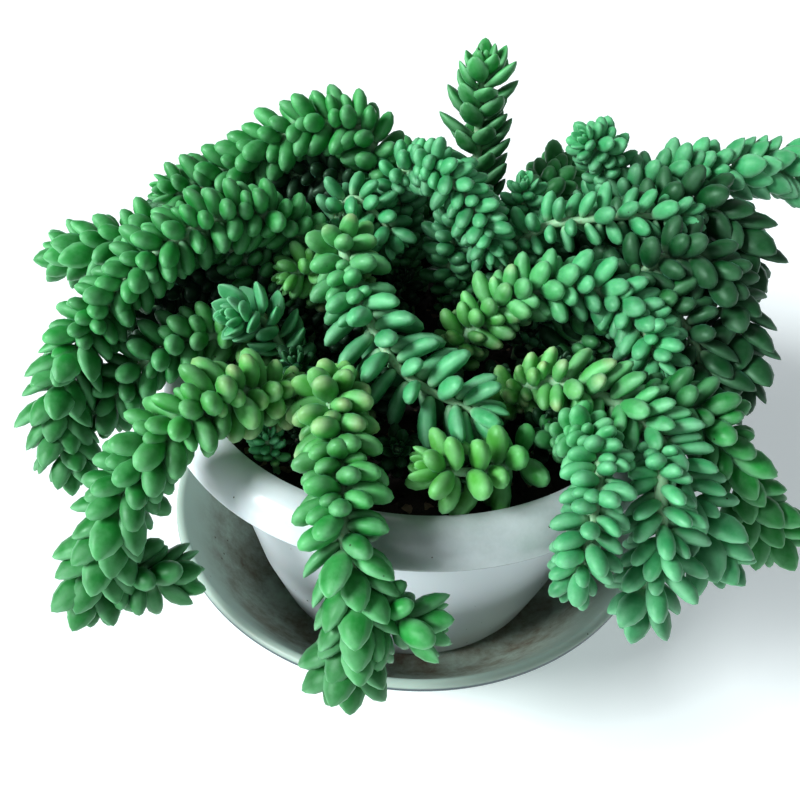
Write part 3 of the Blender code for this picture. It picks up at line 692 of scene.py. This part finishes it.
class BURRO_OT_make_soil(bpy.types.Operator):
    """Make the crumbly soil that fills the pot"""
    bl_idname = "burro.make_soil"
    bl_label = "Soil"

    def execute(self, context):
        settings = context.scene.burro_soil
        chance = random.Random(settings.seed)
        radius, top, base = SOIL_HIGH.x + 0.2, SOIL_HIGH.z, SOIL_LOW.z
        # Closely set rings on the surface carry its relief, and below it the soil narrows to the pot's base
        surface = [(ring, top) for ring in np.linspace(AXIS, radius, SOIL_RINGS)]
        below = [(radius - 13.0, 60.0), (52.0, base), (AXIS, base)]
        soil = turned("potting_soil", surface + below, SOIL_SEGMENTS)
        # Relief: rough clods about 7 mm across on the surface alone
        relief = bpy.data.textures.new("soil relief", "CLOUDS")
        relief.noise_scale = 7 * MM
        relief.noise_depth = 4
        soil.vertex_groups.new(name="top")
        soil.vertex_groups["top"].add(
            [vert.index for vert in soil.data.vertices if vert.co.z > (top - 0.1) * MM], 1.0, "REPLACE")
        displace = soil.modifiers.new("relief", "DISPLACE")
        displace.texture = relief
        displace.texture_coords = "LOCAL"
        displace.direction = "Z"
        displace.vertex_group = "top"
        displace.strength = 4.5 * MM
        displace.mid_level = 0.62
        choose(soil)
        bpy.ops.object.modifier_apply(modifier="relief")
        # A crumb is a lopsided lump, flatter than it is wide
        choose()
        bpy.ops.mesh.primitive_ico_sphere_add(subdivisions=1, radius=0.5)
        crumb = bpy.context.object
        bpy.ops.object.mode_set(mode="EDIT")
        bpy.ops.mesh.select_all(action="SELECT")
        bpy.ops.transform.vertex_random(offset=0.12, seed=4)
        bpy.ops.transform.resize(value=(1.0, 0.8, 0.7))
        bpy.ops.object.mode_set(mode="OBJECT")
        crumbs = []
        for index in range(settings.crumbs):
            reach = (radius - CRUMBS_CLEAR) * math.sqrt(chance.random())
            angle = chance.uniform(0, math.tau)
            size = settings.crumb_size * chance.choice((0.6, 0.8, 1.0, 1.3, 2.0))
            turn = Matrix.Rotation(chance.uniform(0, math.tau), 4, Vector((0.3, 0.4, 1.0)))
            place = Vector((reach * math.cos(angle) * MM, reach * math.sin(angle) * MM, top * MM))
            copy = crumb.copy()
            copy.data = crumb.data.copy()
            copy.data.transform(Matrix.Translation(place) @ turn @ Matrix.Scale(size, 4))
            context.collection.objects.link(copy)
            crumbs.append(copy)
        bpy.data.objects.remove(crumb, do_unlink=True)
        choose(soil, *crumbs)
        bpy.ops.object.join()
        finish_piece(soil, "soil", potting_soil(settings), smooth_angle=50)
        return {"FINISHED"}


def model_leaf(name, form):
    """A leaf of unit length along +Z, its root at the origin and its flatter side at +Y."""
    choose()
    outline = form["outline"]
    rings = len(outline) - 1
    bpy.ops.mesh.primitive_uv_sphere_add(segments=LEAF_SIDES, ring_count=rings, radius=1.0)
    leaf = bpy.context.object
    leaf.name = leaf.data.name = name
    ring_of = {vert.index: round(rings * math.acos(-max(-1.0, min(1.0, vert.co.z))) / math.pi)
               for vert in leaf.data.vertices}
    bpy.ops.object.mode_set(mode="EDIT")
    for ring, (share, height) in enumerate(outline):
        select_points(leaf, lambda vert: ring_of[vert.index] == ring)
        latitude = -math.cos(math.pi * ring / rings)
        bend = form["curl"] * height * height
        if share:
            growth = share / math.sin(math.pi * ring / rings)
            bpy.ops.transform.resize(value=(growth * form["width"] / 2, growth * form["depth"] / 2, 1.0),
                                     center_override=(0.0, 0.0, 0.0))
        bpy.ops.transform.translate(value=(0.0, 0.0, height - latitude))
        select_points(leaf, lambda vert: ring_of[vert.index] == ring and vert.co.y > 0.0)
        bpy.ops.transform.resize(value=(1.0, form["upper"], 1.0), center_override=(0.0, 0.0, 0.0))
        select_points(leaf, lambda vert: ring_of[vert.index] == ring)
        bpy.ops.transform.translate(value=(0.0, bend, 0.0))
    bpy.ops.object.mode_set(mode="OBJECT")
    bpy.ops.object.shade_smooth()
    along = leaf.data.attributes.new("leaf_along", "FLOAT", "POINT")
    along.data.foreach_set("value", [outline[ring_of[index]][1] for index in range(len(ring_of))])
    widths = [max(abs(vert.co.x) for vert in leaf.data.vertices if ring_of[vert.index] == ring) + 1e-6
              for ring in range(rings + 1)]
    # The pale margin, a painted rim light, lies at the leaf's widest points
    edge = leaf.data.attributes.new("leaf_rim_light", "FLOAT", "POINT")
    edge.data.foreach_set("value", [
        form["edge"] * (abs(vert.co.x) / widths[ring_of[vert.index]]) ** EDGE_POWER
        for vert in leaf.data.vertices])
    leaf.data.attributes.new("leaf_tint", "FLOAT_COLOR", "POINT")
    return leaf


class Route:
    """A smooth line through given points, in mm."""

    SAMPLES = 24

    def __init__(self, points):
        points = [Vector(point) for point in points]
        guides = [points[0] * 2 - points[1]] + points + [points[-1] * 2 - points[-2]]
        self.line = []
        for index in range(len(guides) - 3):
            for step in range(self.SAMPLES):
                self.line.append(self.between(guides[index:index + 4], step / self.SAMPLES))
        self.line.append(points[-1])
        self.reach = [0.0]
        for before, after in zip(self.line, self.line[1:]):
            self.reach.append(self.reach[-1] + (after - before).length)
        self.length = self.reach[-1]
        self.sides = self.carry_side()

    @staticmethod
    def between(four, share):
        """A point between the second and third of four points, on a centripetal Catmull-Rom curve."""
        knots = [0.0]
        for before, after in zip(four, four[1:]):
            knots.append(knots[-1] + math.sqrt((after - before).length))
        place = knots[1] + (knots[2] - knots[1]) * share

        def mix(low, high, start, end):
            return start.lerp(end, (place - knots[low]) / (knots[high] - knots[low]))

        first, second, third = [mix(index, index + 1, four[index], four[index + 1]) for index in range(3)]
        return mix(1, 2, mix(0, 2, first, second), mix(1, 3, second, third))

    def carry_side(self):
        """A sideways direction at each sample, carried along the line with no twist."""
        side = (self.line[1] - self.line[0]).orthogonal()
        sides = []
        for index in range(len(self.line)):
            after = self.line[min(index + 1, len(self.line) - 1)]
            before = self.line[max(index - 1, 0)]
            heading = (after - before).normalized()
            side = (side - heading * side.dot(heading)).normalized()
            sides.append(side)
        return sides

    def at(self, distance):
        """Position, heading and side at a distance along the line."""
        index = 1
        while index < len(self.reach) - 1 and self.reach[index] < distance:
            index += 1
        share = (distance - self.reach[index - 1]) / (self.reach[index] - self.reach[index - 1])
        position = self.line[index - 1].lerp(self.line[index], share)
        heading = (self.line[index] - self.line[index - 1]).normalized()
        return position, heading, self.sides[index]


def model_stem(name, route, foot, thickness, material):
    """A round tube along the route that thins to its tip. foot is a point in the soil or None."""
    curve = bpy.data.curves.new(name, "CURVE")
    curve.dimensions = "3D"
    curve.bevel_depth = thickness * MM
    curve.bevel_resolution = 2
    curve.use_fill_caps = True
    places = [route.at(distance)[0]
              for distance in np.linspace(0.0, route.length, int(route.length / BEAD) + 2)]
    radii = [STEM_RADIUS + (STEM_TIP_RADIUS - STEM_RADIUS) * (index / (len(places) - 1)) ** STEM_TAPER
             for index in range(len(places))]
    if foot:
        places.insert(0, foot)
        radii.insert(0, STEM_RADIUS)
    spline = curve.splines.new("POLY")
    spline.points.add(len(places) - 1)
    for point, place, radius in zip(spline.points, places, radii):
        point.co = (*(place * MM), 1.0)
        point.radius = radius
    stem = bpy.data.objects.new(name, curve)
    bpy.context.collection.objects.link(stem)
    choose(stem)
    bpy.ops.object.convert(target="MESH")
    stem = bpy.context.object
    bpy.ops.object.mode_set(mode="EDIT")
    bpy.ops.mesh.select_all(action="SELECT")
    bpy.ops.mesh.remove_doubles(threshold=WELD * MM)
    bpy.ops.mesh.normals_make_consistent(inside=False)
    bpy.ops.object.mode_set(mode="OBJECT")
    bpy.ops.object.shade_smooth()
    dress(stem, material)
    return stem


def leaf_matrix(position, heading, side, turn, lean, length):
    """Where a leaf sits: its root on the stem, turned round it, at the angle lean from its heading."""
    outward = Matrix.Rotation(turn, 3, heading) @ side
    along = outward * math.sin(lean) + heading * math.cos(lean)
    across = heading.cross(outward).normalized()
    upper = along.cross(across).normalized()
    basis = Matrix((across, upper, along)).transposed()
    root = Matrix.Translation((position + outward * ROOT_REACH) * MM)
    return root @ basis.to_4x4() @ Matrix.Scale(length * MM, 4)


class Room:
    """What leaves keep clear of: other leaves and stems as spheres, and the pot, saucer and soil."""

    def __init__(self, solids):
        self.centres = np.zeros((0, 3))
        self.radii = np.zeros(0)
        self.owners = np.zeros(0, dtype=int)
        self.solids = solids

    def add(self, centres, radii, owner):
        self.centres = np.vstack([self.centres, centres])
        self.radii = np.concatenate([self.radii, radii])
        self.owners = np.concatenate([self.owners, np.full(len(radii), owner)])

    def near(self, position, reach):
        """The spheres within reach of a point: centres, radii and owners."""
        close = np.linalg.norm(self.centres - np.array(position), axis=1) - self.radii < reach
        return self.centres[close], self.radii[close], self.owners[close]

    def press(self, nearby, centres, radii, owner, own_crowd, crowd):
        """How far spheres of one stem would press into what is near, beyond what is allowed, in mm."""
        near_centres, near_radii, near_owners = nearby
        allowed = np.where(near_owners == owner, own_crowd, crowd)
        worst = 0.0
        for centre, radius in zip(centres, radii):
            gaps = np.linalg.norm(near_centres - centre, axis=1) - near_radii - radius
            worst = max(worst, float(np.max(-gaps - allowed, initial=0.0)))
            point = Vector(centre) * MM
            for solid in self.solids:
                surface, normal, face, distance = solid.find_nearest(point)
                # Near an edge the nearest face may look away, so its side counts only close by
                inside = (point - surface).dot(normal) < 0 and distance < SKIN * MM
                worst = max(worst, radius + (distance if inside else -distance) / MM)
        return worst

    def cover(self, point):
        """How much of the sky above a point the leaves and stems hide, 0 to 1."""
        offsets = self.centres - point
        rise = offsets[:, 2]
        opening = COVER_FOOT + COVER_SPREAD * rise
        above = (rise > COVER_RISE) & (np.hypot(offsets[:, 0], offsets[:, 1]) < opening)
        return 1.0 - math.exp(-float(np.sum((self.radii[above] / opening[above]) ** 2)))


def leaf_places(route, first, pitch, lean, leaf_length):
    """For each leaf: distance along the stem, share of full length and lean in radians."""
    tip_length = min(TIP_LENGTH * leaf_length / FULL_LEAF, route.length * TIP_MOST)
    tip_start = max(first, route.length - tip_length)
    count = max(1, round((tip_start - first) / pitch))
    places = []
    for index in range(count):
        share = index / count
        size = min(1.0, YOUNG_SIZE + YOUNG_GROWTH * share)
        places.append((first + (tip_start - first) * share, size, lean))
    for index in range(TIP_LEAVES):
        share = (index + 1) / TIP_LEAVES
        distance = tip_start + (route.length - tip_start) * (1 - (1 - share) ** TIP_CLOSING)
        size = 1.0 + (TIP_SIZE - 1.0) * share ** TIP_SHRINKING
        places.append((distance, size, lean + (math.radians(TIP_LEAN) - lean) * share ** TIP_STRAIGHTENING))
    return places


def leaf_spheres(matrix, length):
    """The spheres that stand for a leaf in its place: centres and radii, mm."""
    centres = [np.array(matrix @ Vector((0.0, SPHERES_UP, along))) / MM for along, radius in LEAF_SPHERES]
    return centres, [radius * length for along, radius in LEAF_SPHERES]


def inner_shoots():
    """Short dark shoots all over the soil, set out as a sunflower's seeds are, as one entry of the table."""
    routes = []
    for index in range(INNER_SHOOTS):
        reach = SHOOTS_REACH * SOIL_HIGH.x * math.sqrt((index + 0.5) / INNER_SHOOTS)
        angle = math.radians(GOLDEN_TURN * index)
        x, y = reach * math.cos(angle), reach * math.sin(angle)
        height = SHOOT_HEIGHT + SHOOT_SPREAD * ((index * 7) % 5) / 4
        # They lean outwards a little, and their tips to the front
        routes.append([(x, y, SOIL_HIGH.z - 1.0), (x * 1.02, y * 1.02, SOIL_HIGH.z + height / 2),
                       (x * 1.06, y * 1.06 - 2.0, SOIL_HIGH.z + height)])
    return ("inner_shoots", 10, ("deep", "deep"), 0.0, routes[0], routes[1:])


class BURRO_OT_grow_stems(bpy.types.Operator):
    """Grow the leafy stems"""
    bl_idname = "burro.grow_stems"
    bl_label = "Leafy stems"

    def execute(self, context):
        settings = context.scene.burro_leaf
        skin, bark = leaf_skin(settings), stem_skin(settings)
        forms = {name: model_leaf(name, form) for name, form in LEAF_FORMS.items()}
        room = Room([node_tree(node) for node in ("pot", "saucer", "soil")])
        chance = random.Random(settings.seed)
        table = STEMS + INNER_STEMS + [inner_shoots()]
        plants = []
        for owner, (name, leaf_length, _, _, points, shoots) in enumerate(table):
            routes = [Route(points)] + [Route(shoot) for shoot in shoots]
            in_soil = points[0][2] < SOIL_HIGH.z + NEAR_SOIL
            foot = Vector((*points[0][:2], SOIL_HIGH.z - STEM_FOOT)) if in_soil else None
            thickness = min(1.0, leaf_length / THICK_LEAF)
            stems = [model_stem(f"leafy_{name}", routes[0], foot, thickness, bark)]
            stems += [model_stem(f"leafy_{name}_shoot", route, None, thickness, bark) for route in routes[1:]]
            for route in routes:
                beads = [route.at(distance)[0] for distance in np.arange(0.0, route.length, BEAD)]
                room.add(np.array(beads), np.full(len(beads), STEM_RADIUS * thickness), owner)
            plants.append((routes, stems))
        dressed = []
        for owner, (routes, stems) in enumerate(plants):
            leaves = []
            for route in routes:
                leaves += self.clothe(context, route, owner, table[owner], forms, room, chance,
                                      route is routes[0])
            dressed.append(leaves)
        for (name, _, greens, *_), (_, stems), leaves in zip(table, plants, dressed):
            inside = greens[0] == "deep" and not name.startswith("stem_")
            # Painted shade: leaves under cover are darkened, but not the sprout's
            dark = 0.0 if name == "sprout" else PAINTED_INSIDE_SHADE if inside else PAINTED_COVER_SHADE
            for leaf, middle, tone, blush in leaves:
                shade = 1.0 - dark * room.cover(middle)
                tint = leaf.data.attributes["leaf_tint"].data
                tint.foreach_set("color", [*(tone * shade), blush] * len(leaf.data.vertices))
                dress(leaf, skin)
            piece = stems[0]
            choose(*stems, *(entry[0] for entry in leaves))
            bpy.ops.object.join()
            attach(piece, BODY)
            if name.startswith("stem_"):
                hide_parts(name)
        for form in forms.values():
            bpy.data.objects.remove(form, do_unlink=True)
        return {"FINISHED"}

    def clothe(self, context, route, owner, entry, forms, room, chance, from_soil):
        """Clothe one route with copies of the leaf forms, in a spiral, each where there is room for it.

        Each leaf comes back as its object, its middle in mm, its tone and its blush.
        """
        settings = context.scene.burro_leaf
        name, leaf_length, (start_green, end_green), broad = entry[:4]
        start, end = [Vector(getattr(settings, green)) for green in (start_green, end_green)]
        turn = chance.uniform(0.0, math.tau)
        first = BARE_FOOT if from_soil and name.startswith("stem_") else min(BARE_FORK, route.length / 3)
        pitch = settings.pitch * leaf_length * SPARE.get(name, 1.0)
        spiral = leaf_places(route, first, pitch, settings.lean, leaf_length)
        # The spiral comes first, and then leaves anywhere along the stem that is still bare
        reach = FILL_REACH.get(name, 1.0 - FILL_FROM_BROAD * broad)
        fills = [(chance.uniform(first - FILL_MARGINS[0], route.length * reach - FILL_MARGINS[1]),
                  chance.uniform(*FILL_SIZES), settings.lean)
                 for index in range(int(FILL_TRIES * len(spiral) * reach))]
        tries = [(place, OWN_CROWD, CROWD, GIVE, WAYS_CLEAR) for place in spiral]
        tries += [(place, FILL_OWN_CROWD, FILL_CROWD, 0.0, WAYS_CLEAR[:1]) for place in fills]
        leaves = []
        for (distance, size, lean), own_crowd, crowd, give, ways in tries:
            turn += math.radians(GOLDEN_TURN + chance.uniform(-TURN_JITTER, TURN_JITTER))
            share = distance / route.length
            long_here, broad_here = share > LONG_FROM.get(name, math.inf), share > 1.0 - broad
            length = leaf_length * size * chance.uniform(*LENGTH_JITTER)
            if name in LONG_FROM and not long_here:
                length *= SHORT_BEFORE
            if broad_here:
                length *= BROAD_LONGER
            lean *= chance.uniform(*LEAN_JITTER) * (BROAD_LEAN if broad_here else 1.0)
            position, heading, side = route.at(distance)
            nearby = room.near(position, length + NEAR)
            best = None
            for lean_share, length_share, more_turn in ways:
                matrix = leaf_matrix(position, heading, side, turn + math.radians(more_turn),
                                     lean * lean_share, length * length_share)
                centres, radii = leaf_spheres(matrix, length * length_share)
                press = room.press(nearby, centres, radii, owner, own_crowd * leaf_length,
                                   crowd * leaf_length)
                if best is None or press < best[0]:
                    best = (press, matrix, centres, radii)
                if press <= 0.0:
                    break
            press, matrix, centres, radii = best
            if press > give * leaf_length:
                continue
            room.add(np.array(centres), np.array(radii), owner)
            form = "long" if long_here else "plump"
            form = "bud" if size < BUD_BELOW and share > 0.5 else "broad" if broad_here else form
            leaf = forms[form].copy()
            leaf.data = forms[form].data.copy()
            leaf.data.transform(matrix)
            context.collection.objects.link(leaf)
            mix = min(1.0, max(0.0, (share - GREEN_FROM) / GREEN_OVER)) if from_soil else 1.0
            tone = start.lerp(end, mix) * chance.uniform(*TONE_JITTER)
            blushes = from_soil and start_green == "lime" and share < BLUSH_UNTIL
            leaves.append((leaf, centres[1], tone, chance.uniform(0.0, BLUSH_MOST) if blushes else 0.0))
        return leaves


def node_tree(node):
    """A search tree of a CAD node's faces."""
    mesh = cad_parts[node].data
    return BVHTree.FromPolygons([vert.co for vert in mesh.vertices],
                                [tuple(face.vertices) for face in mesh.polygons])


class BURRO_OT_set_stage(bpy.types.Operator):
    """Set the floor, the lights and the camera"""
    bl_idname = "burro.set_stage"
    bl_label = "Stage"

    def execute(self, context):
        settings = context.scene.burro_stage
        scene = context.scene
        choose()
        # The floor lies a hair under the saucer's foot
        bpy.ops.mesh.primitive_plane_add(size=6.0, location=(0.0, 0.0, CAD_BOX[0][2] - 0.2 * MM))
        floor = context.object
        floor.name = "studio_floor"
        bpy.ops.object.transform_apply(location=True)
        floor.data.materials.append(painted_floor(settings))
        target = Vector(CAMERA_TARGET) * MM
        back = Vector((0.0, -math.cos(settings.elevation), math.sin(settings.elevation)))
        level = Vector((1.0, 0.0, 0.0))
        upright = back.cross(level)
        right = level * math.cos(settings.roll) + upright * math.sin(settings.roll)
        up = upright * math.cos(settings.roll) - level * math.sin(settings.roll)
        bpy.ops.object.camera_add()
        camera = context.object
        pose = Matrix((right, up, back)).transposed().to_4x4()
        pose.translation = target + back * settings.distance
        camera.matrix_world = pose
        camera.data.lens = 45.0
        camera.data.sensor_width = 36.0
        scene.camera = camera
        for name, kind, place, size, power, colour in LIGHTS:
            bpy.ops.object.light_add(type=kind, location=place)
            light = context.object
            light.name = name
            if kind == "SUN":
                light.data.angle = size
            else:
                light.data.size = size
            light.data.energy = power
            light.data.color = colour
            light.rotation_euler = (target - Vector(place)).to_track_quat("-Z", "Y").to_euler()
        world = bpy.data.worlds.new("soft room")
        world.use_nodes = True
        set_inputs(world.node_tree.nodes["Background"], {"Color": (0.93, 0.97, 1.0, 1.0), "Strength": 0.14})
        scene.world = world
        scene.view_settings.view_transform = "Standard"
        return {"FINISHED"}


class BURRO_PT_panel(bpy.types.Panel):
    """Burro's tail in its pot"""
    bl_label = "Burro's tail"
    bl_idname = "BURRO_PT_panel"
    bl_space_type = "VIEW_3D"
    bl_region_type = "UI"
    bl_category = "Burro's tail"

    def draw(self, context):
        for operator in OPERATORS:
            self.layout.operator(operator.bl_idname)
        for attribute, group in GROUPS.items():
            box = self.layout.box()
            box.label(text=group.__doc__)
            for setting in group.__annotations__:
                box.prop(getattr(context.scene, attribute), setting)


GROUPS = {"burro_pot": PotSettings, "burro_soil": SoilSettings, "burro_leaf": LeafSettings,
          "burro_stage": StageSettings}
OPERATORS = (BURRO_OT_make_saucer, BURRO_OT_make_pot, BURRO_OT_make_soil, BURRO_OT_grow_stems,
             BURRO_OT_set_stage)


def register():
    for group in (*GROUPS.values(), *OPERATORS, BURRO_PT_panel):
        bpy.utils.register_class(group)
    for attribute, group in GROUPS.items():
        setattr(bpy.types.Scene, attribute, PointerProperty(type=group))


def unregister():
    for attribute in GROUPS:
        delattr(bpy.types.Scene, attribute)
    for group in reversed((*GROUPS.values(), *OPERATORS, BURRO_PT_panel)):
        bpy.utils.unregister_class(group)


def main():
    register()
    bpy.ops.burro.make_saucer()
    bpy.ops.burro.make_pot()
    bpy.ops.burro.make_soil()
    bpy.ops.burro.grow_stems()
    bpy.ops.burro.set_stage()


if __name__ == "__main__":
    main()
